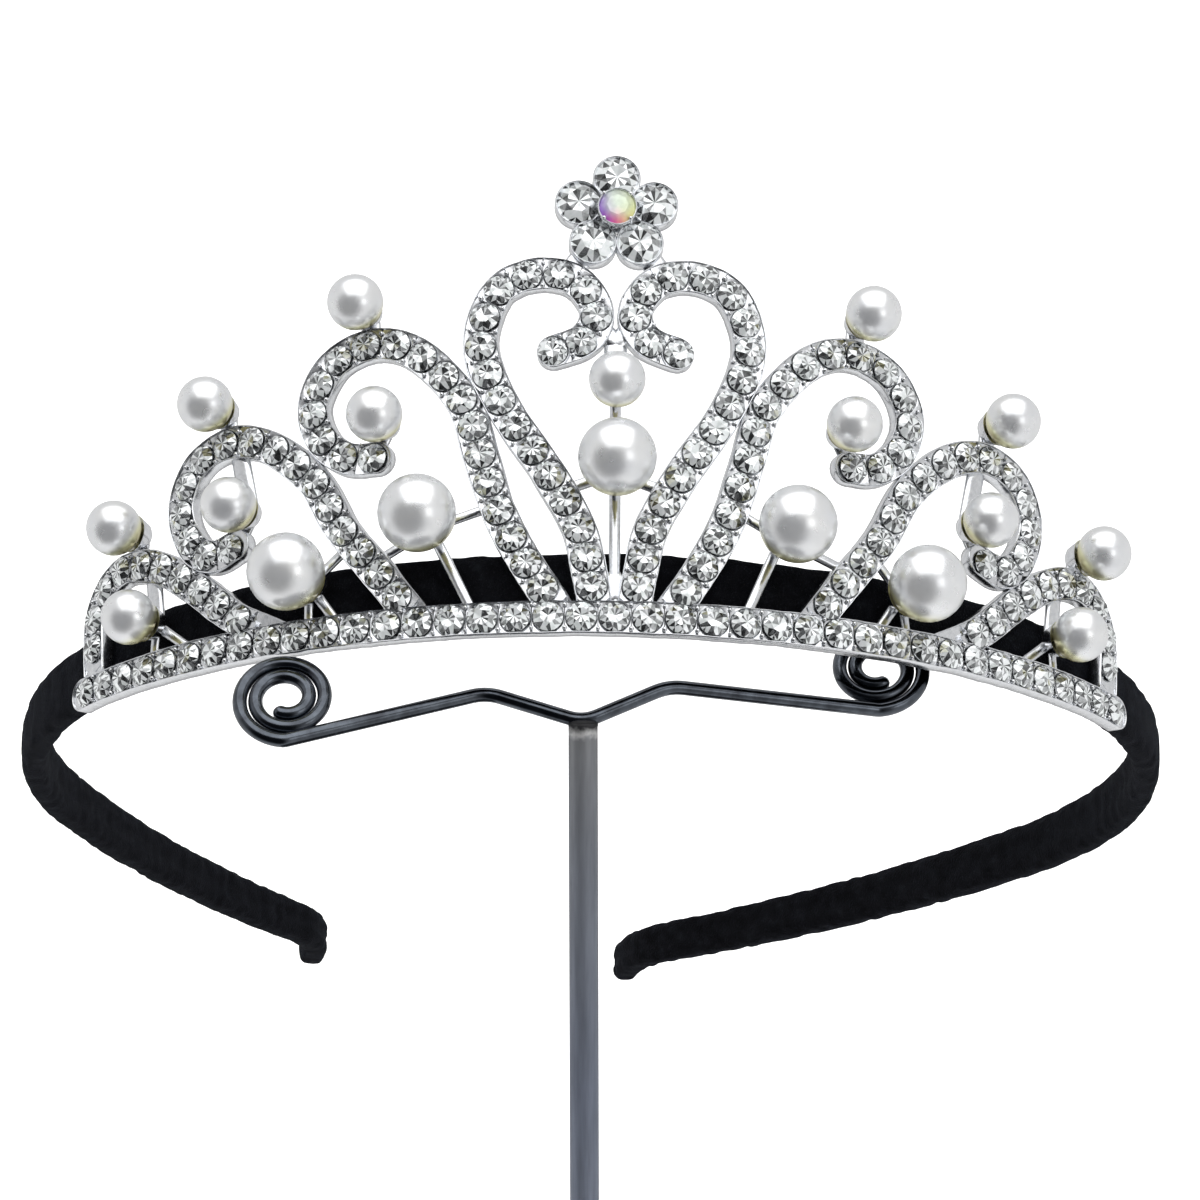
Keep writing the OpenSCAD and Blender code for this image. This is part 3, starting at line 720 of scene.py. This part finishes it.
# Five petal seats; in the middle a disc, a stem, a seat and four beads; two rods down to the heart
def addFlower(s):
    for i in range(5):
        s.add(*flowerSeat(*petalPoint(i), stones["petal"], 0.0, flower["petalTop"]))
    top, half = tiara["thick"] + flower["centreRise"], stones["middle"] / 2
    s.add(*flowerDisc(0, 0, flower["disc"], 0.0, flower["discTop"]))
    s.add(*flowerDisc(0, 0, half - flower["stemIn"], flower["stemFrom"], top - flower["stemTop"]))
    s.add(*flowerSeat(0, 0, stones["middle"], top - flower["seatLow"], top + flower["seatHigh"]))
    for k in range(4):
        a, r = twoPi * (k / 4 + 0.125), half + flower["beadOut"]
        points, faces = bead(flower["bead"], flower["beadFrom"], top + flower["beadHigh"])
        s.add(onFlower(r * math.cos(a), r * math.sin(a), points), faces)
    (x, y), heart = petalPoint(2), curls["heart"]
    for side in both:
        high = (side * x, flower["height"] + y)
        low = (side * flower["carrierFoot"] * heart["width"], heart["height"])
        s.add(*rodShape(high, low, flower["carrier"] * tiara["pin"], 2))


# Strips, rods, cups and flower gathered into one piece
def castFrame():
    s = Shapes()
    addStrips(s)
    number = 0  # rods in turn lie at slightly different depths
    for name, x0, y0, sides, ends in rodRows:
        for x1, y1, size in ends:
            for side in sides:
                a, b = curlPoint(name, x0, y0, side), curlPoint(name, x1, y1, side)
                s.add(*rodShape(a, b, size * tiara["pin"], number % 5))
            number += 1
    for name, x, y, big, sides in pearlRows:
        for side in sides:
            s.add(*cupShape(curlPoint(name, x, y, side), pearls["big" if big else "small"]))
    addFlower(s)
    makePiece("castFrame", s, ["silver"], smooth=True, replaces=("tiara_frame",))


# A petal's place on the ring, each a fifth of a turn on; the upper three hang a little lower
def petalPoint(i):
    a, r = i * twoPi / 5, flower["ring"]
    return r * math.sin(a), r * math.cos(a) - (flower["droop"] if i in (0, 1, 4) else 0)


# Everything of the flower stands flat in the plane of its middle
def onFlower(x, y, points):
    return flatOnTiara(0.0, flower["height"], points + [x, y, 0])


# A disc with eased edges, turned from its profile
def flowerDisc(x, y, r, low, high):
    q = flower["ease"]
    profile = [(0, low), (r - q, low), (r, low + q), (r, high - q), (r - q, high), (0, high)]
    points, faces = turned(profile, 28)
    return onFlower(x, y, points), faces


# A stone's seat: a rim with eased edges round a deep hollow, turned from its profile
def flowerSeat(x, y, d, low, high):
    inner, outer, q = d / 2 + flower["rimGap"], d / 2 + flower["rim"], flower["ease"]
    edge, floor = high - flower["rimEase"], low + flower["seatFloor"]
    profile = [(0, low), (outer - q, low), (outer, low + q), (outer, edge), (outer - q, high),
               (inner + flower["rimGap"], high - 0.00002), (inner, edge), (inner, floor), (0, floor)]
    points, faces = turned(profile, 32)
    return onFlower(x, y, points), faces


# A round stone: a table of sixteen wedges that dips a little to its middle, its wedges later toned with
# painted reflections of the facets below that show through it, then star, kite and girdle facets down to the
# widest ring, and a plain cone below
def brilliant(d, crown, table, dip, below):
    half, edge, k = d / 2, 0.12 * crown, np.arange(8)  # the girdle stands at a small share of the crown
    b, g = (k + 0.5) * twoPi / 8, angles(32)
    ring = lambda r, angle, z: np.stack([r * np.cos(angle), r * np.sin(angle), np.full(len(angle), z)], -1)
    rim = ring(half * table, g[::2], crown)
    rim[1::2, :2] *= math.cos(math.pi / 8)
    points = np.vstack([
        rim, ring(half * (table * 0.42 + 0.58 * 0.93), b, crown * 0.62), ring(half, g, edge * 1.6),
        ring(half, g, edge * 0.4), [[0, 0, crown - dip * d]], [[0, 0, -below]],
    ])
    star, up, down, middle, point = 16, 24, 56, 88, 89
    faces = [[middle, i, (i + 1) % 16] for i in range(16)]
    faces += [[star + i // 4, up + i, up + (i + 1) % 32] for i in range(32)]
    faces += [f for i in k for f in ([2 * i, star + (i - 1) % 8, up + 4 * i], [2 * i, up + 4 * i, star + i])]
    faces += [f for i in k for f in ([2 * i, star + i, 2 * i + 1], [2 * i + 1, star + i, (2 * i + 2) % 16])]
    faces += [[up + i, down + i, down + (i + 1) % 32, up + (i + 1) % 32] for i in range(32)]
    faces += [[point, down + (i + 1) % 32, down + i] for i in range(32)]
    return points, faces


# Each facet's tone, a painted reflection, in the order of the faces: drawn at random, but many of the table's
# wedges, of the triangles round it and of the kites alternate between two tones
def paintedReflectionTones(count):
    tones = rng.choice(3, count, p=stones["tones"])
    for first, size in ((0, 16), (16, 32), (48, 16)):
        pair = [[0, 2], [2, 0], [0, 1], [1, 0]][rng.integers(0, 4)]
        kept = rng.uniform(size=size) < stones["paired"]
        tones[first:first + size] = np.where(kept, np.tile(pair, size // 2), tones[first:first + size])
    return tones


# One stone, turned about its own axis and tipped by a few degrees about a level one, as hand-set stones are
def setStone(s, place, d, below):
    points, faces = brilliant(d, d * stones["crown"], stones["table"], stones["dip"], below)
    marks = paintedReflectionTones(len(faces)).tolist()
    spin, tip, way = rng.uniform(0, twoPi), math.radians(rng.uniform(0, stones["tip"])), rng.uniform(0, twoPi)
    c, n = math.cos(spin), math.sin(spin)
    points = points @ np.array([[c, n, 0], [-n, c, 0], [0, 0, 1]])
    axis = np.array([math.cos(way), math.sin(way), 0])
    upright = np.outer(points @ axis, axis)
    points = points * math.cos(tip) + np.cross(axis, points) * math.sin(tip) + upright * (1 - math.cos(tip))
    s.add(place(points + [0, 0, stoneFoot]), faces, marks, rng.uniform())


# The three facet materials, bright, mid and dark painted reflection
paintedReflectionLooks = ["paintedBrightFacet", "paintedMidFacet", "paintedDarkFacet"]
stoneFoot = tiara["thick"] + stones["gap"]


# One piece of all the stones in a row, each set at its own (u, v)
def stoneField(name, rows, node):
    s = Shapes()
    for uv in rows:
        setStone(s, lambda p: flatOnTiara(*uv, p), stones["shown"], stones["below"])
    makePiece(name, s, paintedReflectionLooks, replaces=(node,))


# The strips' four fields, the five petals' stones and the rainbow stone in their middle
def allStones():
    stoneField("baseStones", baseStones(), "base_stones")
    stoneField("heartStones", np.vstack([curlStones("heart", side) for side in both]), "heart_stones")
    for side, word in zip(both, ("Left", "Right")):
        rows = np.vstack([curlStones(name, side) for name in ("tall", "middle", "low")])
        stoneField("archStones" + word, rows, "arch_stones_" + word.lower())
    for i in range(5):
        s = Shapes()
        x, y = petalPoint(i)
        setStone(s, lambda p: onFlower(x, y, p), stones["petalShown"], stones["petalBelow"])
        makePiece(f"petalStone{i + 1}", s, paintedReflectionLooks, replaces=(f"flower_stone_{i + 1}",))
    rainbowStone(stoneFoot + flower["centreRise"])


# Round the stone: angle in degrees from its right side, and the colour there
rainbow = ((0, (0.6, 0.64, 0.3)), (60, (0.62, 0.68, 0.52)), (120, (0.56, 0.62, 0.6)),
           (160, (0.28, 0.17, 0.5)), (205, (0.22, 0.06, 0.46)), (240, (0.42, 0.05, 0.4)),
           (265, (0.72, 0.09, 0.28)), (292, (0.72, 0.34, 0.22)), (320, (0.66, 0.62, 0.22)),
           (360, (0.6, 0.64, 0.3)))


# The raised middle stone: its foil's colours follow the angle and fade to pale green at the table's middle
def rainbowStone(w):
    d = stones["middle"]
    points, faces = brilliant(d, d * stones["crown"], stones["middleTable"], stones["middleDip"],
                              stones["middleBelow"])
    angle = np.degrees(np.arctan2(points[:, 1], points[:, 0])) % 360
    reach = np.clip(np.hypot(points[:, 0], points[:, 1]) / (d / 2) * 1.9 - 0.75, 0, 1)[:, None]
    stops = np.array([a for a, _ in rainbow])
    ringColour = np.stack([np.interp(angle, stops, [c[k] for _, c in rainbow]) for k in range(3)], -1)
    colour = np.array([0.5, 0.57, 0.47]) * (1 - reach) + ringColour * reach
    s = Shapes().add(onFlower(0, 0, points + [0, 0, w]), faces)
    makePiece("rainbowStone", s, ["rainbow"], replaces=("flower_centre",),
              colours=np.hstack([colour, np.ones((len(colour), 1))]))


# A ball turned from a half circle; its seat, the share of painted shade, is 0 over most of it and rises to 1
# at its back and lower side
def pearlShape(s, uv, d):
    a = np.linspace(-math.pi / 2, math.pi / 2, pearls["rings"])
    profile = np.stack([d / 2 * np.cos(a), d / 2 * np.sin(a)], -1)
    profile[0, 0] = profile[-1, 0] = 0
    points, faces = turned(profile, pearls["sides"])
    depth = -points[:, 2] / (d / 2)
    # painted shade, growing toward the back and the lower side
    paintedShade = depth - pearls["shadeSlant"] * points[:, 1] / (d / 2) - pearls["shadeFrom"]
    points = points + [0, 0, tiara["thick"] + pearls["floor"] + pearls["gap"] + d / 2]
    s.add(flatOnTiara(*uv, points), faces, 0, np.clip(paintedShade / pearls["shadeSpan"], 0, 1))


# One piece for each pearl, numbered as in the rows
def allPearls():
    number = 0
    for name, x, y, big, sides in pearlRows:
        for side in sides:
            number += 1
            s = Shapes()
            pearlShape(s, curlPoint(name, x, y, side), pearls["big" if big else "small"])
            makePiece(f"fauxPearl{number}", s, ["pearl"], smooth=True,
                      replaces=(f"pearl_{number}",))


velvet = {
    "square": 3.2, "around": 56, "along": 900, "closer": 1.25, "narrowing": 1.2, "roundTip": 0.45,
    "every": 0.0013, "patches": 14, "uneven": 0.00007, "pileRange": (-1.6, 1.0),
    "seam": 0.00022, "seamWidth": 0.12, "short": 0.00002,
}


# Random heights on a coarse grid, eased between its points, round the section and along the band
def unevenPile(rows, cols, along, around):
    coarse = rng.normal(size=(along + 1, around))
    r, c = np.linspace(0, along, rows), np.arange(cols) * around / cols
    i, j = np.minimum(r.astype(int), along - 1), c.astype(int)
    ease = lambda x: x * x * (3 - 2 * x)
    fr, fc = ease(r - i)[:, None], ease(c - j)[None, :]
    pick = lambda a, b: coarse[a][:, b % around]
    low = pick(i, j) * (1 - fc) + pick(i, j + 1) * fc
    high = pick(i + 1, j) * (1 - fc) + pick(i + 1, j + 1) * fc
    return low * (1 - fr) + high * fr


# A rounded box section carried along the hoop, its rows closer near the tips; its height narrows with a
# power of the length run, and its size eases to nought at the tips as a quarter circle does
def velvetBand():
    cols, rows = velvet["around"], velvet["along"]
    end = hoopLength - velvet["short"]
    t = np.linspace(-1, 1, rows)
    s = end * np.sign(t) * (1 - (1 - np.abs(t)) ** velvet["closer"])
    front, last = band["frontHeight"], band["tipHeight"]
    height = front + (last - front) * (np.abs(s) / hoopLength) ** velvet["narrowing"]
    tip = np.clip((hoopLength - np.abs(s)) / (velvet["roundTip"] * last), 0, 1)
    share = np.sqrt(np.clip(1 - (1 - tip) ** 2, 0, 1))
    g = (np.arange(cols) + 0.5) * twoPi / cols
    bulge = lambda c: np.sign(c) * np.abs(c) ** (2 / velvet["square"])
    middle = band["lowEdge"] + front / 2
    patches = unevenPile(rows, cols, int(2 * end / velvet["every"]), velvet["patches"])
    pile = velvet["uneven"] * np.clip(patches, *velvet["pileRange"])
    seam = velvet["seam"] * np.exp(-(((g - math.pi) / velvet["seamWidth"]) ** 2))[None, :]
    out = share[:, None] * ((band["thickness"] / 2 - velvet["uneven"] + pile - seam) * bulge(np.cos(g)))
    up = middle + share[:, None] * (height[:, None] / 2 - velvet["uneven"] + pile) * bulge(np.sin(g))
    shapes = Shapes().add(*carried(placed(onHoop(np.broadcast_to(s[:, None], out.shape), out, up))))
    piece = makePiece("velvetWrap", shapes, ["velvet"], smooth=True,
                      replaces=("velvet_band",))


stand = {
    "wire": 0.0015, "spiral": 0.0051, "pitch": 0.0016, "turns": 2.1, "lean": 44,
    "left": (-0.0301033, -0.00109766, 0.0726381), "right": (0.0302844, 0.0125084, 0.0733354),
    "leftBend": (-0.0099, 0.0036), "rightBend": (0.0087, 0.0044), "bendRound": 0.0016,
    "cutEnd": (0.55, 0.92),  # the wire's cut ends, as shares of its thickness
    "weld": 0.07, "weldDrop": 0.0002,
    "weldBead": (0.00156, 0.00055),  # radius and half height
    "lumps": ((0.07, 3, 1), (0.05, 7, -2)), "lumpRise": 0.0006,
    "post": 0.003, "footThick": 0.004, "footGap": 0.0001, "ease": 0.0001, "topEase": (0.0002, 0.00015),
}


# Circles that close in by one pitch a turn, in the leaning plane
def spiralPath(centre, side, upLean):
    turns = np.linspace(stand["turns"], 0, 150)[:, None]
    r = stand["spiral"] - stand["pitch"] * turns
    a = turns * twoPi
    across = np.array([1.0, 0, 0])
    return centre + side * r * np.sin(a) * across - upLean * r * np.cos(a)


# A rounded corner: a curve with its control point on the corner
def cornerPath(a, corner, b, size):
    p, q = (corner + size * (end - corner) / np.linalg.norm(end - corner) for end in (a, b))
    t = np.linspace(0, 1, 10)[:, None]
    return (1 - t) ** 2 * p + 2 * t * (1 - t) * corner + t**2 * q


# The wire runs out of one spiral, over three bends and into the other; the weld and the post stand below it
def wireAndPost():
    lean = math.radians(stand["lean"])
    upLean = np.array([0, math.sin(lean), math.cos(lean)])
    backLean = np.array([0, math.cos(lean), -math.sin(lean)])
    weld = np.array([0, 0, stand["weld"]])
    leftBend, rightBend = (weld + [stand[bend][0], 0, 0] + upLean * stand[bend][1]
                           for bend in ("leftBend", "rightBend"))
    left, right = (stand[side] - upLean * stand["spiral"] for side in ("left", "right"))
    r = stand["bendRound"]
    corners = np.vstack([
        spiralPath(stand["left"], -1, upLean), cornerPath(left, leftBend, weld, r),
        cornerPath(leftBend, weld, rightBend, r), cornerPath(weld, rightBend, right, r),
        spiralPath(stand["right"], 1, upLean)[::-1],
    ])
    path = alongLine(corners, np.linspace(0, runOf(corners)[-1], 560))
    size = np.full(len(path), stand["wire"] / 2)
    size[[0, -1]], size[[1, -2]] = (stand["wire"] / 2 * share for share in stand["cutEnd"])
    s = Shapes().add(*tube(path, size, 20, backLean))
    makePiece("spiralWire", s, ["wire"], smooth=True, replaces=("stand",))
    # the weld: a lumpy ring of metal where the wire meets the post
    a = np.linspace(0, math.pi, 15)
    wide, high = stand["weldBead"]
    profile = np.stack([wide * np.sin(a) ** 0.8, stand["weld"] - stand["weldDrop"] - high * np.cos(a)], -1)
    profile[0, 0] = profile[-1, 0] = 0
    points, faces = turned(profile, 30)
    angle, rise = np.arctan2(points[:, 1], points[:, 0]), points[:, 2] / stand["lumpRise"]
    lump = 1
    for share, times, slant in stand["lumps"]:
        lump = lump + share * np.sin(times * angle + slant * rise)
    points[:, :2] *= lump[:, None]
    makePiece("weldBead", Shapes().add(points, faces), ["post"], smooth=True)
    q, top, low = stand["post"] / 2, stand["weld"], stand["footThick"] / 2 + stand["footGap"]
    ease, (inward, down) = stand["ease"], stand["topEase"]
    profile = [(0, low), (q - ease, low), (q, low + ease), (q, top - down), (q - inward, top), (0, top)]
    makePiece("steelPost", Shapes().add(*turned(profile, 56)), ["post"])


castFrame()
print("cast frame built")
allStones()
print("stones set")
allPearls()
print("pearls placed")
velvetBand()
print("velvet band built")
wireAndPost()
print("stand built")

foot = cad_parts["foot"]
for place in foot.material_slots:
    place.material = materials["foot"]

studio = {
    "floorTone": 0.86, "floorGlow": 0.5, "floorRadii": (0.5, 2.2, 3.0), "turnUp": 0.8, "wallTop": 3.5,
    "key": {"at": (0.02, -0.2, 0.86), "size": 1.25, "power": 5.4},
    "side": {"at": (0.5, -0.62, 0.22), "size": 0.3, "power": 0.26},
    "aim": (0, 0, 0.08),
    "height": [(0.0, grey(0.9)), (0.2, grey(0.66)), (0.5, grey(0.66)), (0.7, grey(0.6)), (1.0, grey(0.55))],
    "dark": (0.025, 0.026, 0.03), "darkWay": (-0.4, -0.905, -0.14), "darkEdge": (0.42, 0.88),
}


# A round floor that turns up into a wall far off on every side: one profile of (radius, height) turned
def backdrop():
    a = np.linspace(0, math.pi / 2, 16)
    (near, flat, far), r = studio["floorRadii"], studio["turnUp"]
    profile = np.stack([np.concatenate([[0, near], flat + r * np.sin(a), [far]]),
                        np.concatenate([[0, 0], r - r * np.cos(a), [studio["wallTop"]]])], -1)
    g = angles(64)
    r, z = profile[1:, :1], profile[1:, 1:2]
    grid = np.stack([r * np.cos(g), r * np.sin(g), z + 0 * g], -1).reshape(-1, 3)
    faces = [f[::-1] for f in gridQuads(len(profile) - 1, 64, closeCols=True)]
    faces += [[len(grid), i, (i + 1) % 64] for i in range(64)]
    mesh = bpy.data.meshes.new("paleFloor")
    mesh.from_pydata(np.vstack([grid, [[0, 0, 0]]]).tolist(), [], faces)
    mesh.polygons.foreach_set("use_smooth", [True] * len(mesh.polygons))
    m, shader = newMaterial("pale floor", {
        "Roughness": 0.9, "Emission Color": (1, 1, 1, 1), "Emission Strength": studio["floorGlow"]})
    stops = [(0.3, grey(studio["floorTone"] * 0.99)), (0.7, grey(studio["floorTone"]))]
    paint(shader, ramp(shader, grain(shader, 0.4, 2), stops))
    mesh.materials.append(m)
    floor = newObject("paleFloor", mesh)
    floor.visible_glossy = floor.visible_transmission = False  # gloss sees the studio, not the floor


# Turns that point a lamp's own -z along a way: a tilt from straight down, then a turn about the upright
def lookAlong(way):
    way = way / np.linalg.norm(way)
    return (math.acos(-way[2]), 0.0, math.atan2(way[1], way[0]) - math.pi / 2)


# A square soft lamp that looks at the studio's aim
def areaLight(name, at, size, power):
    light = bpy.data.lights.new(name, "AREA")
    light.shape = "SQUARE"
    light.size = size
    light.energy = power
    lamp = newObject(name, light)
    lamp.location = at
    lamp.rotation_euler = lookAlong(np.subtract(studio["aim"], at))


# Tone by height, with a soft dark patch before and below the object, as a dark room stands behind a camera
def surroundings():
    world = bpy.data.worlds.new("softStudio")
    bpy.context.scene.world = world
    world.use_nodes = True
    back = world.node_tree.nodes["Background"]
    way = newNode(back, "TexCoord").outputs["Generated"]
    upright = newNode(back, "SeparateXYZ", {"Vector": way}).outputs["Z"]
    high = newNode(back, "MapRange", {"Value": upright, "From Min": -1}).outputs["Result"]
    facing = newNode(back, "VectorMath", {0: way, 1: studio["darkWay"]}, operation="DOT_PRODUCT")
    start, end = studio["darkEdge"]
    near = newNode(back, "MapRange", {"Value": facing.outputs["Value"], "From Min": start, "From Max": end},
                   interpolation_type="SMOOTHSTEP").outputs["Result"]
    tones = {"Factor": near, "A": ramp(back, high, studio["height"]), "B": (*studio["dark"], 1)}
    feed(back, {"Color": newNode(back, "Mix", tones, data_type="RGBA").outputs["Result"]})


photo = {
    "tilt": 9, "aim": (0.0118, 0.0026, 0.0826), "distance": 0.6,  # degrees down, metres
    "focal": 5892, "middle": (699.05, 595.81), "pixels": 1200,  # all in the photo's pixels
    "sensor": 36,
}


# The camera stands back from its aim along its way, and the shift puts the aim on its own pixel
def photoCamera():
    data = bpy.data.cameras.new("photoView")
    camera = newObject("photoView", data)
    tilt = math.radians(photo["tilt"])
    way = np.array([0, math.cos(tilt), -math.sin(tilt)])
    camera.location = photo["aim"] - way * photo["distance"]
    camera.rotation_euler = (math.pi / 2 - tilt, 0, 0)
    x, y = photo["middle"]
    size = photo["pixels"]
    data.sensor_width = photo["sensor"]
    data.lens = photo["sensor"] * photo["focal"] / size
    data.shift_x = -(x - size / 2) / size
    data.shift_y = (y - size / 2) / size
    data.clip_start = 0.01
    bpy.context.scene.camera = camera


backdrop()
for name in ("key", "side"):
    areaLight(name + "Light", **studio[name])
surroundings()
photoCamera()
bpy.context.scene.view_settings.view_transform = "Standard"
print("studio ready")
